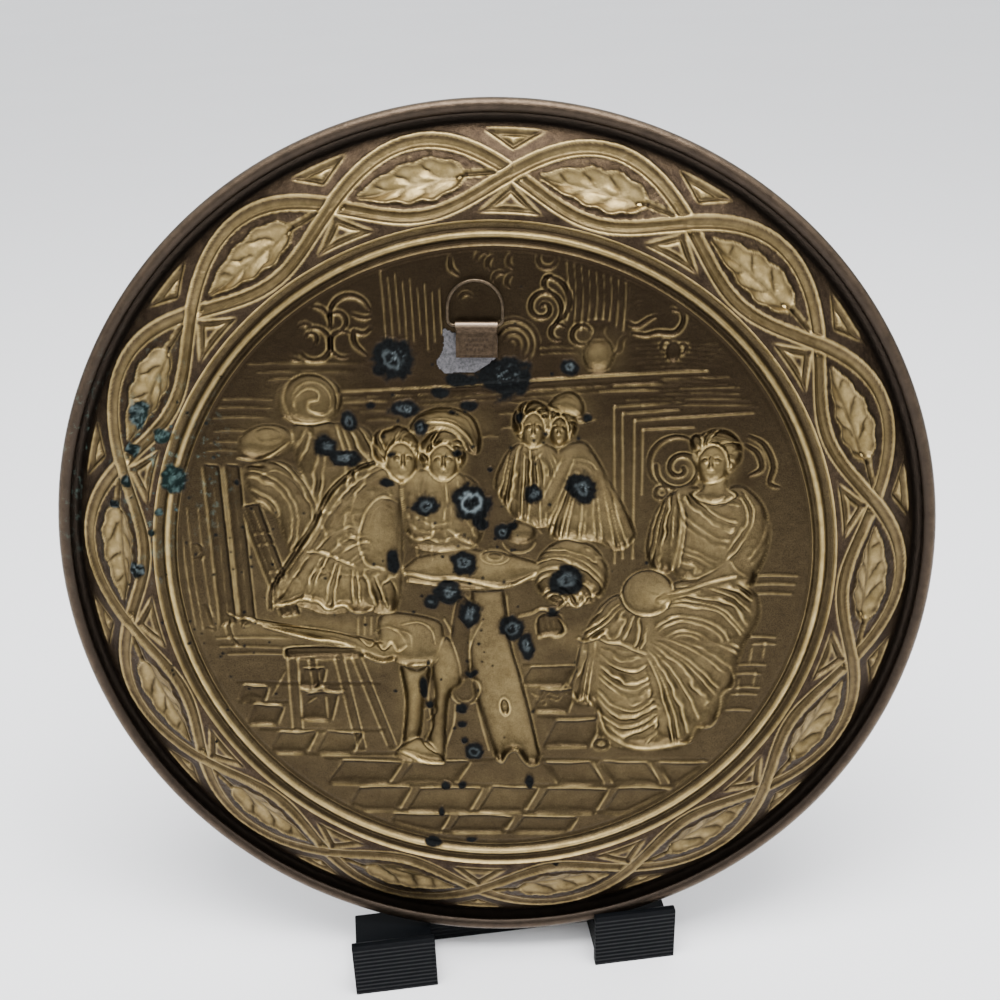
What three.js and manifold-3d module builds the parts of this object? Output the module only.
import * as THREE from 'three';
import Module from 'manifold-3d';

const wasm = await Module();
wasm.setup();

// Driving dimensions, in millimetres and degrees.
// The plate's own frame: x to the right and y up across the plate, z out of its hollow side.

// Sheet and rolled rim
const sheet = 0.8;
const rim_radius = 176;
const roll_radius = 2.9;
const roll_level = -9.6;
const roll_mouth_deg = 150;
const recess_radius = 168.7;
const recess_level = -12.1;

// Border band, a rounded slope between the rim and the ring moulding
const band_outer_radius = 166.6;
const band_inner_radius = 133.4;
const band_crown_radius = 135;
const band_crown_level = 5;
const band_drop = 15.8;
const band_power = 1.5;

// Interlaced strands and what they enclose
const lens_count = 14;
const crossing_radius = 149.6;
const crossing_start_deg = 87.3;
const strand_swing = 12.8;
const strand_half_width = 1.9;
const strand_depth = 1.4;
const leaf_half_width = 7.2;
const leaf_depth = 2.1;
const leaf_rib_depth = 1.1;
const corner_depth = 1.3;

// Ring moulding round the picture
const moulding_outer_radius = 130.6;
const moulding_radius = 128;
const moulding_inner_radius = 125.7;
const moulding_height = 2.2;
const moulding_groove_level = 2.5;
const picture_radius = 123.4;
const picture_level = 4;

// Picture: the outlines below are laid out on a circle of this many units
const picture_units = 123.4;
const wall_spread = 0.6;

// Hanger on the hollow side
const hanger_x = -5.8;
const hanger_bar_y = 95.6;
const ring_wire_radius = 0.6;
const ring_offset = -0.5;
const ring_height = 16.4;
const ring_corner_radius = 2.4;
const strap_width = 15.4;
const strap_length = 13.6;
const strap_sheet = 0.7;
const strap_clearance = 0.3;
const solder_thickness = 0.9;
const rest_gap = 0.3;

// Stand
const plate_lean_deg = 10;
const plate_turn_deg = -1.4;
const stand_turn_deg = 8.2;
const stand_reach = 36;
const foot_width = 33;
const foot_gap = 72;
const foot_height = 15.46;
const foot_length = 25.5;
const lip_height = 27.6;
const lip_thickness = 3.6;
const lip_overhang = 1.2;
const crossbar_thickness = 6;
const crossbar_height = 14;
const post_width = 30;
const post_thickness = 6;
const post_height = 184;
const web_thickness = 8;
const web_length = 64;
const web_toe_height = 6;
const web_top_height = 140;

const deg = Math.PI / 180;

// Solids

function toSolid(positions, triangles) {
  const mesh = new wasm.Mesh({
    numProp: 3,
    vertProperties: Float32Array.from(positions),
    triVerts: Uint32Array.from(triangles),
  });
  mesh.merge();
  return new wasm.Manifold(mesh);
}

function toGeometry(solid) {
  const mesh = solid.getMesh();
  const geometry = new THREE.BufferGeometry();
  geometry.setAttribute('position', new THREE.BufferAttribute(mesh.vertProperties.slice(), 3));
  geometry.setIndex(new THREE.BufferAttribute(mesh.triVerts.slice(), 1));
  geometry.computeVertexNormals();
  return geometry;
}

// A solid whose outline changes from level to level, highest level first.
function stack(levels) {
  const n = levels[0].points.length;
  const positions = [];
  for (const level of levels) {
    for (const p of level.points) {
      positions.push(p.x, p.y, level.z);
    }
  }
  const triangles = [];
  const top = THREE.ShapeUtils.triangulateShape(levels[0].points, []);
  for (const [a, b, c] of top) {
    triangles.push(a, b, c);
  }
  for (let i = 0; i + 1 < levels.length; i++) {
    for (let j = 0; j < n; j++) {
      const a = i * n + j;
      const b = i * n + (j + 1) % n;
      triangles.push(a, a + n, b + n);
      triangles.push(a, b + n, b);
    }
  }
  const last = (levels.length - 1) * n;
  const bottom = THREE.ShapeUtils.triangulateShape(levels[levels.length - 1].points, []);
  for (const [a, b, c] of bottom) {
    triangles.push(last + a, last + c, last + b);
  }
  return toSolid(positions, triangles);
}

function block(x0, x1, y0, y1, z0, z1) {
  const points = [
    new THREE.Vector2(x0, y0),
    new THREE.Vector2(x1, y0),
    new THREE.Vector2(x1, y1),
    new THREE.Vector2(x0, y1),
  ];
  return stack([{ points, z: z1 }, { points, z: z0 }]);
}

// A side profile of (y, z) points carried along x from x0 to x1.
function profileAlongX(profile, x0, x1) {
  const shape = new THREE.Shape(profile.map(([y, z]) => new THREE.Vector2(y, z)));
  const geometry = new THREE.ExtrudeGeometry(shape, { depth: x1 - x0, bevelEnabled: false, curveSegments: 8 });
  geometry.rotateX(Math.PI / 2);
  geometry.rotateZ(Math.PI / 2);
  geometry.translate(x0, 0, 0);
  return fromGeometry(geometry);
}

function fromGeometry(geometry) {
  const bare = geometry.index ? geometry.toNonIndexed() : geometry;
  const array = bare.getAttribute('position').array;
  const found = new Map();
  const positions = [];
  const triangles = [];
  for (let i = 0; i < array.length; i += 3) {
    const key = [0, 1, 2].map((k) => Math.round(array[i + k] * 1e4)).join(' ');
    if (!found.has(key)) {
      found.set(key, positions.length / 3);
      positions.push(array[i], array[i + 1], array[i + 2]);
    }
    triangles.push(found.get(key));
  }
  return toSolid(positions, triangles);
}

// Outlines, all counter-clockwise

function ordered(points) {
  return THREE.ShapeUtils.isClockWise(points) ? points.reverse() : points;
}

function loop(controls, count) {
  const curve = new THREE.CatmullRomCurve3(
    controls.map(([x, y]) => new THREE.Vector3(x, y, 0)), true, 'centripetal');
  const points = curve.getSpacedPoints(count).slice(0, count);
  return ordered(points.map((p) => new THREE.Vector2(p.x, p.y)));
}

function oval(x, y, halfWidth, halfHeight, turn = 0, count = 12) {
  const points = [];
  for (let i = 0; i < count; i++) {
    const a = 2 * Math.PI * i / count;
    const p = new THREE.Vector2(halfWidth * Math.cos(a), halfHeight * Math.sin(a));
    points.push(p.rotateAround(new THREE.Vector2(), turn * deg).add(new THREE.Vector2(x, y)));
  }
  return points;
}

function corners(list) {
  return ordered(list.map(([x, y]) => new THREE.Vector2(x, y)));
}

// A strip between two ends, each with its own half width.
function strip(x0, y0, x1, y1, half0, half1) {
  const along = new THREE.Vector2(x1 - x0, y1 - y0).normalize();
  const side = new THREE.Vector2(-along.y, along.x);
  return corners([
    [x0 + side.x * half0, y0 + side.y * half0],
    [x0 - side.x * half0, y0 - side.y * half0],
    [x1 - side.x * half1, y1 - side.y * half1],
    [x1 + side.x * half1, y1 + side.y * half1],
  ]);
}

function spread(points, distance) {
  const n = points.length;
  return points.map((p, i) => {
    const before = points[(i + n - 1) % n];
    const after = points[(i + 1) % n];
    const a = new THREE.Vector2().subVectors(p, before).normalize();
    const b = new THREE.Vector2().subVectors(after, p).normalize();
    const normal = new THREE.Vector2(a.y + b.y, -a.x - b.x).normalize();
    const lean = Math.max(0.6, normal.x * a.y - normal.y * a.x);
    return new THREE.Vector2(p.x + normal.x * distance / lean, p.y + normal.y * distance / lean);
  });
}

// The picture's raised forms. Each is pressed out of the sheet: a hollow on one side, the same
// form one sheet further out on the other. depth is how far, draft how much its outline closes in.

const forms = [];

function press(outline, depth, draft, shoulder = 0) {
  const kept = outline.map((p) => p.clone().clampLength(0, picture_units - 2));
  forms.push({ outline: kept, depth, draft, shoulder });
}

// A run of folds that fans out from one point between two directions.
function fan(x, y, from, to, near, far, count, depth) {
  for (let i = 0; i < count; i++) {
    const a = (from + (to - from) * i / (count - 1)) * deg;
    const reach = Array.isArray(far) ? far[0] + (far[1] - far[0]) * i / (count - 1) : far;
    press(strip(x + near * Math.cos(a), y + near * Math.sin(a),
      x + reach * Math.cos(a), y + reach * Math.sin(a), 0.5, 1.5), depth, 0.45);
  }
}

// Seated woman at the right: skirt, bodice, sleeve, head, forearm and the round dish she holds
press(loop([[47, -13], [37, -28], [34, -57], [43, -62], [46, -76], [62, -79], [76, -78], [90, -68],
  [97, -52], [105, -20], [100, -7], [76, -7]], 15), 3.2, 1.6, 1.4);
fan(66, -22, -96, 4, 11, [50, 34], 6, 4.4);
press(loop([[66, 24], [70, 31], [85, 34], [101, 27], [105, 12], [97, -5], [72, -2]], 10), 3.4, 1.8);
press(oval(65.5, 12, 7, 14, -6, 8), 3.9, 1.6);
press(oval(85, 43.5, 9.6, 11.4, 0, 9), 4, 1.8);
press(strip(101, 2, 66, -14, 3.6, 2.4), 4.2, 0.9);
press(oval(60.5, -10.5, 10.6, 10.6, 0, 9), 2.4, 0.7);

// Scrolled chair back behind her
press(oval(66.5, 40, 7.4, 8.2, 0, 7), 1.3, 0.7);
press(oval(103, 43, 6.6, 8.4, 0, 7), 1.3, 0.7);

// Man seated at the left of the table: jacket with a flared skirt, arm, head, legs and shoe
press(loop([[-44, 36], [-69, 23], [-77, 5], [-87, -12], [-86, -18], [-66, -19.5], [-38, -19],
  [-37, 20]], 12), 3.4, 1.6, 1.4);
fan(-60, 8, -132, -66, 9, [34, 30], 4, 4.6);
press(oval(-48, 11, 7.6, 14, 8, 8), 4.6, 1.6);
press(oval(-38, 47, 9, 10.6, 12, 9), 3.6, 1.8);
press(corners([[-46, -20], [-22, -24], [-15, -36], [-12, -50], [-15, -86], [-21, -86], [-21, -62],
  [-26, -46], [-44, -36]]), 2.8, 1.1);
press(corners([[-35, -45], [-26, -47], [-28, -78], [-20, -84], [-22, -87], [-41, -85], [-37, -74]]),
  3.2, 1);
press(strip(-104, -21, -34, -37, 1, 3.4), 2.2, 0.6);

// Stool under him
press(strip(-88, -37, -54, -39, 2, 2), 2, 0.6);
press(strip(-80, -41.5, -79, -70, 1.6, 1.4), 1.6, 0.5);
press(strip(-52, -39, -43, -78, 1.8, 1.5), 1.6, 0.5);

// Man in a broad beret beside him, and a bowl on the table
press(oval(-18, 44, 7.6, 9, 0, 8), 3.4, 1.5);
press(loop([[-30, 56], [-24, 63], [-10, 61], [-6, 47], [-13, 55]], 8), 2.8, 0.8);
press(loop([[-33, 34], [-10, 35], [-3, 22], [-16, 10], [-32, 10]], 8), 2.6, 1.2);
press(oval(0, 4, 6, 3.2, 0, 7), 3, 1);

// Table: top and slab trestle with an arched foot
press(corners([[-36, -1], [-34, -7], [2, -9], [20, -4], [19, 1]]), 2.4, 0.6);
press(corners([[-3, -9.5], [4, -9.5], [7, -32], [19.5, -83], [15, -86], [11, -80], [5, -80],
  [2, -84], [-8, -56], [-9, -36]]), 2.6, 0.8);

// Standing pair behind the table: heads, a hat, gowns with upright folds, a full pair of breeches
press(oval(15, 58, 6.4, 7.2, 0, 8), 3.4, 1.4);
press(oval(27, 62, 8.4, 7.2, -12, 8), 3.2, 1.3);
press(loop([[3, 44], [12, 50], [22, 50], [38, 42], [55, 12], [38, 14], [20, 14], [4, 20]], 11),
  2.8, 1.4, 1.2);
fan(24, 60, -118, -54, 20, [40, 52], 4, 3.7);
press(oval(32, -2, 13, 12.4, 0, 9), 3.2, 2);

// Group at the far left: round hat, flat hat, cloaks, slatted chair and upright boards
press(oval(-69, 67, 11.2, 9.6, 0, 9), 3, 1.4);
press(oval(-86, 48, 11, 5.4, 12, 8), 2.4, 1);
press(loop([[-75, 57], [-48, 54], [-46, 42], [-66, 26]], 7), 2.6, 1.2);
press(loop([[-92, 38], [-78, 40], [-68, 14], [-80, 8], [-92, 24]], 7), 2.6, 1.2);
press(corners([[-97, 24], [-90, 25], [-77, -20], [-84, -21]]), 1.8, 0.6);
press(corners([[-111, 42], [-105.5, 41], [-103.5, -24], [-108.5, -25]]), 1.4, 0.5);
press(corners([[-103, 42], [-97.5, 41], [-91.5, -19], [-97, -19]]), 1.4, 0.5);

// Mantel shelf, wall frame, curtain pleats, jug and the scrolled rosette under the top
press(corners([[-56, 71.5], [-56, 68.6], [100, 75.8], [100, 79]]), 1.5, 0.5);
press(corners([[45, 66], [98, 67.5], [98, 65], [47.6, 63.5], [56.6, 8], [54, 10]]), 1.3, 0.5);
press(oval(39.5, 86, 7, 8, 0, 8), 2.8, 1.2);
press(strip(36.5, 93.5, 37.5, 98, 2, 2.6), 2, 0.6);
press(oval(20, 103, 8, 8.6, 0, 8), 1.5, 0.8);
for (let i = 0; i < 2; i++) {
  press(strip(-37 + 9 * i, 113 - i, -36 + 9 * i, 82, 1.2, 1.8), 1.2, 0.4);
  press(strip(34 + 7 * i, 111 - 2 * i, 32 + 7 * i, 97, 1, 1.3), 1.1, 0.35);
}
for (const [x, y, w] of [[-72, 92, 8], [-55, 99, 7], [64, 97, 7]]) {
  press(oval(x, y, w, 4, 18, 6), 1.1, 0.6);
}

// Stone floor in skewed slabs, wider toward the front
for (let row = 0; row < 2; row++) {
  const top = -90 - 11.5 * row;
  const height = 9 + row;
  const width = 26 + 4 * row;
  for (let i = 0; i < 4 - row; i++) {
    const x = (i - 2 + 0.5 * row) * (width + 3);
    press(corners([[x + 3, top], [x + width + 2, top], [x + width - 2, top - height], [x - 1, top - height]]),
      1, 0.5);
  }
}

function pressed(sheetSolid) {
  const scale = picture_radius / picture_units;
  const back = picture_level;
  const front = picture_level - sheet;
  const outs = [];
  const hollows = [];
  for (const form of forms) {
    const mouth = form.outline.map((p) => p.clone().multiplyScalar(scale));
    const floor = spread(mouth, -form.draft);
    const levels = [{ points: mouth, z: back + 1 }, { points: mouth, z: back }];
    const grown = spread(mouth, wall_spread * sheet);
    const skin = [{ points: grown, z: back - sheet / 2 }, { points: grown, z: front }];
    if (form.shoulder) {
      const waist = spread(mouth, -form.draft * 0.4);
      const drop = form.depth * 0.62;
      levels.push({ points: waist, z: back - drop });
      skin.push({ points: spread(waist, wall_spread * sheet), z: front - drop });
      const crown = spread(mouth, -form.draft * 0.4 - form.shoulder);
      levels.push({ points: crown, z: back - form.depth });
      skin.push({ points: spread(crown, wall_spread * sheet), z: front - form.depth });
    } else {
      levels.push({ points: floor, z: back - form.depth });
      skin.push({ points: spread(floor, wall_spread * sheet), z: front - form.depth });
    }
    outs.push(stack(skin));
    hollows.push(stack(levels));
  }
  const raised = wasm.Manifold.union([sheetSolid, ...outs]);
  return raised.subtract(wasm.Manifold.union(hollows));
}

// Plate sheet: rows of points from the picture's edge out to the lip of the rolled rim.
// Each row gives, for every column, radius and level on the hollow side, and the direction in
// which the other side lies.

function bandLevel(radius) {
  const share = Math.max(0, (radius - band_crown_radius) / (band_outer_radius - band_crown_radius));
  return band_crown_level - band_drop * Math.pow(share, band_power);
}

function bandNormal(radius) {
  const slope = (bandLevel(radius + 0.5) - bandLevel(radius - 0.5));
  const length = Math.hypot(1, slope);
  return [slope / length, -1 / length];
}

const fine = lens_count * 6;
const coarse = lens_count * 3;

function plainRow(count, radius, level, normal = [0, -1]) {
  return { count, at: () => [radius, level, normal] };
}

function bandRow(place) {
  return {
    count: fine,
    at: (j) => {
      const [radius, depth] = place(j % 6);
      const normal = bandNormal(radius);
      return [radius + normal[0] * depth, bandLevel(radius) + normal[1] * depth, normal];
    },
  };
}

// Strand edges and centres: side is -1 for the inner strand and 1 for the outer one, edge is -1
// toward the leaf, 0 on the centre line and 1 away from the leaf. The strands meet where c is 0.
function strandRow(side, edge) {
  return bandRow((c) => {
    if (c === 0) {
      const step = [0.4, 0.7, 1.6][edge + 1] * strand_half_width;
      return [crossing_radius + side * step, edge === 1 ? 0 : strand_depth];
    }
    const rise = Math.sin(Math.PI * c / 6);
    const steep = 1 + 0.35 * Math.abs(Math.cos(Math.PI * c / 6));
    const centre = crossing_radius + side * strand_swing * rise;
    return [centre + side * edge * strand_half_width * steep, edge === 0 ? strand_depth : 0];
  });
}

// Leaf inside each lens: stem at one crossing, tip at the other.
const leaf_shape = [0, 0.3, 0.85, 1, 0.62, 0.12];

function leafRow(share, depth) {
  return bandRow((c) => {
    const half = c === 0 ? 0.5 : Math.max(1, leaf_half_width * leaf_shape[c]);
    const vein = c === 3 ? 0.75 : 1;
    return [crossing_radius + half * share, c === 0 ? strand_depth : depth * leaf_shape[c] ** 0.5 * vein];
  });
}

// Little raised corner between the strands and the band's edge, one point at each crossing.
function cornerPoint(side) {
  const edge = side < 0 ? band_inner_radius : band_outer_radius;
  const radius = crossing_radius + side * 3 + (edge - crossing_radius - side * 3) * 0.55;
  const normal = bandNormal(radius);
  return [radius + normal[0] * corner_depth, bandLevel(radius) + normal[1] * corner_depth, normal];
}

function rollRow(angle) {
  const centre = rim_radius - roll_radius;
  const inner = roll_radius - sheet;
  const a = angle * deg;
  return plainRow(coarse, centre + inner * Math.cos(a), roll_level + inner * Math.sin(a),
    [Math.cos(a), Math.sin(a)]);
}

function plateSheet() {
  const rows = [
    plainRow(coarse, picture_radius, picture_level),
    plainRow(coarse, moulding_inner_radius, moulding_groove_level),
    plainRow(coarse, moulding_radius, moulding_groove_level + moulding_height),
    plainRow(coarse, moulding_outer_radius, moulding_groove_level),
    bandRow(() => [band_inner_radius, 0]),
    { ...strandRow(-1, 1), corner: cornerPoint(-1) },
    strandRow(-1, 0),
    strandRow(-1, -1),
    leafRow(-0.55, leaf_depth),
    leafRow(0, leaf_rib_depth),
    leafRow(0.55, leaf_depth),
    strandRow(1, -1),
    strandRow(1, 0),
    strandRow(1, 1),
    { ...bandRow(() => [band_outer_radius, 0]), corner: cornerPoint(1) },
    plainRow(coarse, recess_radius, recess_level, [-0.35, -0.94]),
    rollRow(-110),
    rollRow(-45),
    rollRow(20),
    rollRow(85),
    rollRow(roll_mouth_deg),
  ];
  const positions = [];
  const triangles = [];
  const start = [];
  for (const sideOf of [0, 1]) {
    start.push(rows.map((row) => {
      const first = positions.length / 3;
      for (let j = 0; j < row.count; j++) {
        const [radius, level, normal] = row.at(j);
        const r = radius + sideOf * sheet * normal[0];
        const z = level + sideOf * sheet * normal[1];
        const a = crossing_start_deg * deg + 2 * Math.PI * j / row.count;
        positions.push(r * Math.cos(a), r * Math.sin(a), z);
      }
      return first;
    }));
  }
  const put = (a, b, c, flip) => (flip ? triangles.push(a, c, b) : triangles.push(a, b, c));
  for (const sideOf of [0, 1]) {
    const first = start[sideOf];
    const centre = positions.length / 3;
    positions.push(0, 0, picture_level - sideOf * sheet);
    for (let j = 0; j < coarse; j++) {
      put(centre, first[0] + j, first[0] + (j + 1) % coarse, sideOf);
    }
    for (let i = 0; i + 1 < rows.length; i++) {
      const n = rows[i].count;
      const m = rows[i + 1].count;
      const inner = (j) => first[i] + ((j + n) % n);
      const outer = (j) => first[i + 1] + ((j + m) % m);
      if (n === m) {
        for (let j = 0; j < n; j++) {
          if (rows[i + 1].corner && (j % 6 === 0 || j % 6 === 5)) {
            continue;
          }
          put(inner(j), outer(j), outer(j + 1), sideOf);
          put(inner(j), outer(j + 1), inner(j + 1), sideOf);
        }
        for (let j = 0; rows[i + 1].corner && j < n; j += 6) {
          const [radius, level, normal] = rows[i + 1].corner;
          const r = radius + sideOf * sheet * normal[0];
          const a = crossing_start_deg * deg + 2 * Math.PI * j / n;
          const tip = positions.length / 3;
          positions.push(r * Math.cos(a), r * Math.sin(a), level + sideOf * sheet * normal[1]);
          const round = [outer(j - 1), outer(j), outer(j + 1), inner(j + 1), inner(j), inner(j - 1)];
          round.forEach((v, k) => put(tip, v, round[(k + 1) % 6], sideOf));
        }
      } else if (m > n) {
        for (let j = 0; j < n; j++) {
          put(inner(j), outer(2 * j), outer(2 * j + 1), sideOf);
          put(inner(j), outer(2 * j + 1), inner(j + 1), sideOf);
          put(inner(j + 1), outer(2 * j + 1), outer(2 * j + 2), sideOf);
        }
      } else {
        for (let j = 0; j < m; j++) {
          put(inner(2 * j), outer(j), inner(2 * j + 1), sideOf);
          put(inner(2 * j + 1), outer(j), outer(j + 1), sideOf);
          put(inner(2 * j + 1), outer(j + 1), inner(2 * j + 2), sideOf);
        }
      }
    }
  }
  const last = rows.length - 1;
  const count = rows[last].count;
  for (let j = 0; j < count; j++) {
    const b = start[0][last] + j;
    const c = start[0][last] + (j + 1) % count;
    const d = start[1][last] + j;
    const e = start[1][last] + (j + 1) % count;
    triangles.push(c, b, d, c, d, e);
  }
  return toSolid(positions, triangles);
}

// Hanger

// A round wire bent along a closed flat path of points in x and y.
function closedWire(path, radius, sides) {
  const n = path.length;
  const positions = [];
  const triangles = [];
  for (let i = 0; i < n; i++) {
    const along = new THREE.Vector2().subVectors(path[(i + 1) % n], path[(i + n - 1) % n]).normalize();
    const out = new THREE.Vector2(along.y, -along.x);
    for (let k = 0; k < sides; k++) {
      const a = 2 * Math.PI * k / sides;
      positions.push(path[i].x + out.x * radius * Math.cos(a), path[i].y + out.y * radius * Math.cos(a),
        radius * Math.sin(a));
    }
  }
  for (let i = 0; i < n; i++) {
    for (let k = 0; k < sides; k++) {
      const a = i * sides + k;
      const b = ((i + 1) % n) * sides + k;
      const c = ((i + 1) % n) * sides + (k + 1) % sides;
      const d = i * sides + (k + 1) % sides;
      triangles.push(a, b, c, a, c, d);
    }
  }
  return toSolid(positions, triangles);
}

// The ring's straight bar spans the strap; its corners turn up beside it.
const ring_half_width = strap_width / 2 + ring_corner_radius;

function ringPath() {
  const path = [];
  const corner = (x, y, from, to, radius, steps) => {
    for (let i = 0; i <= steps; i++) {
      const a = (from + (to - from) * i / steps) * deg;
      path.push(new THREE.Vector2(x + radius * Math.cos(a), y + radius * Math.sin(a)));
    }
  };
  const inner = ring_half_width - ring_corner_radius;
  corner(0, ring_height - ring_half_width, 0, 180, ring_half_width, 10);
  corner(-inner, ring_corner_radius, 180, 270, ring_corner_radius, 2);
  corner(inner, ring_corner_radius, 270, 360, ring_corner_radius, 2);
  return path;
}

const fold_inner = ring_wire_radius + strap_clearance;
const fold_outer = fold_inner + strap_sheet;
const strap_level = picture_level + rest_gap + solder_thickness + rest_gap;
const bar_level = strap_level + fold_outer;

// The strap's side profile: round its bar at the top, one flat double leaf below.
function strapProfile() {
  const arc = (radius, from, to, steps) => {
    const points = [];
    for (let i = 0; i <= steps; i++) {
      const a = (from + (to - from) * i / steps) * deg;
      points.push([radius * Math.cos(a), radius * Math.sin(a)]);
    }
    return points;
  };
  const leaf = strap_level + 2 * strap_sheet - bar_level;
  const outline = [
    [-strap_length + fold_outer, -fold_outer],
    ...arc(fold_outer, -90, 120, 10),
    [-2.6 * fold_outer, leaf],
    [-strap_length + fold_outer, leaf],
  ];
  const eye = arc(fold_inner, -150, 150, 10).reverse();
  eye.push([-1.5 * fold_outer, -fold_inner + 0.25]);
  return { outline, eye };
}

function strapSolid() {
  const { outline, eye } = strapProfile();
  const shape = new THREE.Shape(outline.map(([y, z]) => new THREE.Vector2(y, z)));
  shape.holes.push(new THREE.Path(eye.map(([y, z]) => new THREE.Vector2(y, z))));
  const geometry = new THREE.ExtrudeGeometry(shape, { depth: strap_width, bevelEnabled: false });
  geometry.rotateX(Math.PI / 2);
  geometry.rotateZ(Math.PI / 2);
  geometry.translate(-strap_width / 2, 0, 0);
  return fromGeometry(geometry);
}

function solderSolid() {
  const half = strap_width / 2;
  const bottom = -strap_length + fold_outer;
  const outline = loop([
    [-half - 3.6, -3.4], [-half - 0.8, -3], [half - 1, -4.5], [half + 1, bottom + 3], [half + 3, bottom - 2],
    [half - 5, bottom - 6.5], [-half + 4, bottom - 8], [-half - 4, bottom - 7], [-half - 7.5, bottom - 2],
    [-half - 4.6, bottom + 4],
  ], 18);
  const lower = solder_thickness * 0.5;
  return stack([
    { points: spread(outline, -1), z: solder_thickness },
    { points: outline, z: lower },
    { points: spread(outline, -0.4), z: 0 },
  ]);
}

// Stand: two lipped feet, a crossbar, a leaning post and a web behind it

function plateCentreHeight() {
  // The rim rests on the inner edges of the feet
  const lean = plate_lean_deg * deg;
  const centre = rim_radius - roll_radius;
  const reach = foot_gap / 2 / Math.cos(stand_turn_deg * deg) - stand_reach * Math.sin(stand_turn_deg * deg);
  const drop = Math.sqrt(centre * centre - reach * reach);
  return foot_height + rest_gap + roll_radius - roll_level * Math.sin(lean) + drop * Math.cos(lean);
}

function postLean() {
  // The post leans back until its top edge meets the picture's relief
  const lean = plate_lean_deg * deg;
  const deepest = 4.6 + sheet - picture_level + rest_gap;
  const across = (post_width / 2 + 2) * Math.tan(stand_turn_deg * deg);
  const relief = (post_height - plateCentreHeight()) * Math.tan(lean) + deepest / Math.cos(lean);
  const start = -(stand_reach - foot_length);
  return Math.atan((relief + across - start) / post_height);
}

function standSolid() {
  const inner = foot_gap / 2;
  const outer = inner + foot_width;
  const back = foot_length + crossbar_thickness;
  const parts = [];
  for (const side of [-1, 1]) {
    const x0 = Math.min(side * inner, side * outer);
    const x1 = Math.max(side * inner, side * outer);
    parts.push(block(x0, x1, 1, back - 1, 0, foot_height));
    parts.push(profileAlongX([
      [0, 0], [lip_thickness, 0], [lip_thickness, lip_height - 1], [lip_thickness - 1, lip_height],
      [0.6, lip_height], [0, lip_height - 0.6],
    ], x0 - lip_overhang, x1 + lip_overhang));
  }
  parts.push(block(-outer, outer, foot_length, back, 0, crossbar_height));
  const tan = Math.tan(postLean());
  parts.push(profileAlongX([
    [foot_length, 0], [foot_length + post_thickness, 0],
    [foot_length + post_thickness + tan * post_height, post_height - 2],
    [foot_length + post_thickness - 2 + tan * post_height, post_height],
    [foot_length + tan * post_height, post_height],
  ], -post_width / 2, post_width / 2));
  const toe = foot_length + web_length;
  parts.push(profileAlongX([
    [foot_length + 2, 0], [toe, 0], [toe, web_toe_height],
    [foot_length + post_thickness + 16, web_top_height * 0.45],
    [foot_length + post_thickness - 1 + tan * web_top_height, web_top_height],
    [foot_length + 2 + tan * web_top_height, web_top_height],
  ], -web_thickness / 2, web_thickness / 2));
  return wasm.Manifold.union(parts);
}

// Assembly

function named(name, solid, color, roughness, metalness) {
  const material = new THREE.MeshStandardMaterial({ color, roughness, metalness });
  const mesh = new THREE.Mesh(toGeometry(solid), material);
  mesh.name = name;
  return mesh;
}

const part = new THREE.Group();

const plateGroup = new THREE.Group();
const turned = new THREE.Group();
turned.rotation.z = plate_turn_deg * deg;
plateGroup.rotation.x = Math.PI / 2 - plate_lean_deg * deg;
plateGroup.add(turned);

turned.add(named('plate', pressed(plateSheet()), 0x8a7444, 0.45, 0.9));

const ring = named('hanger_ring', closedWire(ringPath(), ring_wire_radius, 6), 0x7d6a4a, 0.4, 0.9);
ring.position.set(hanger_x + ring_offset, hanger_bar_y, bar_level);
const strap = named('hanger_strap', strapSolid(), 0x7a5a3c, 0.5, 0.85);
strap.position.set(hanger_x, hanger_bar_y, bar_level);
const solder = named('solder', solderSolid(), 0x8d8c90, 0.6, 0.6);
solder.position.set(hanger_x, hanger_bar_y, picture_level + rest_gap);
turned.add(ring, strap, solder);

const stand = named('stand', standSolid(), 0x1d1e22, 0.55, 0);
const turn = stand_turn_deg * deg;
stand.rotation.z = turn;

// The object stands on its feet with its origin under the middle of its outline.
const toeSide = web_thickness / 2;
const toeDepth = foot_length + web_length - stand_reach;
const footSide = foot_gap / 2 + foot_width + lip_overhang;
const frontmost = -footSide * Math.sin(turn) - stand_reach * Math.cos(turn);
const rearmost = toeSide * Math.sin(turn) + toeDepth * Math.cos(turn);
const shift = -(frontmost + rearmost) / 2;
plateGroup.position.set(0, shift, plateCentreHeight());
stand.position.set(stand_reach * Math.sin(turn), shift - stand_reach * Math.cos(turn), 0);

part.add(plateGroup, stand);

export default part;
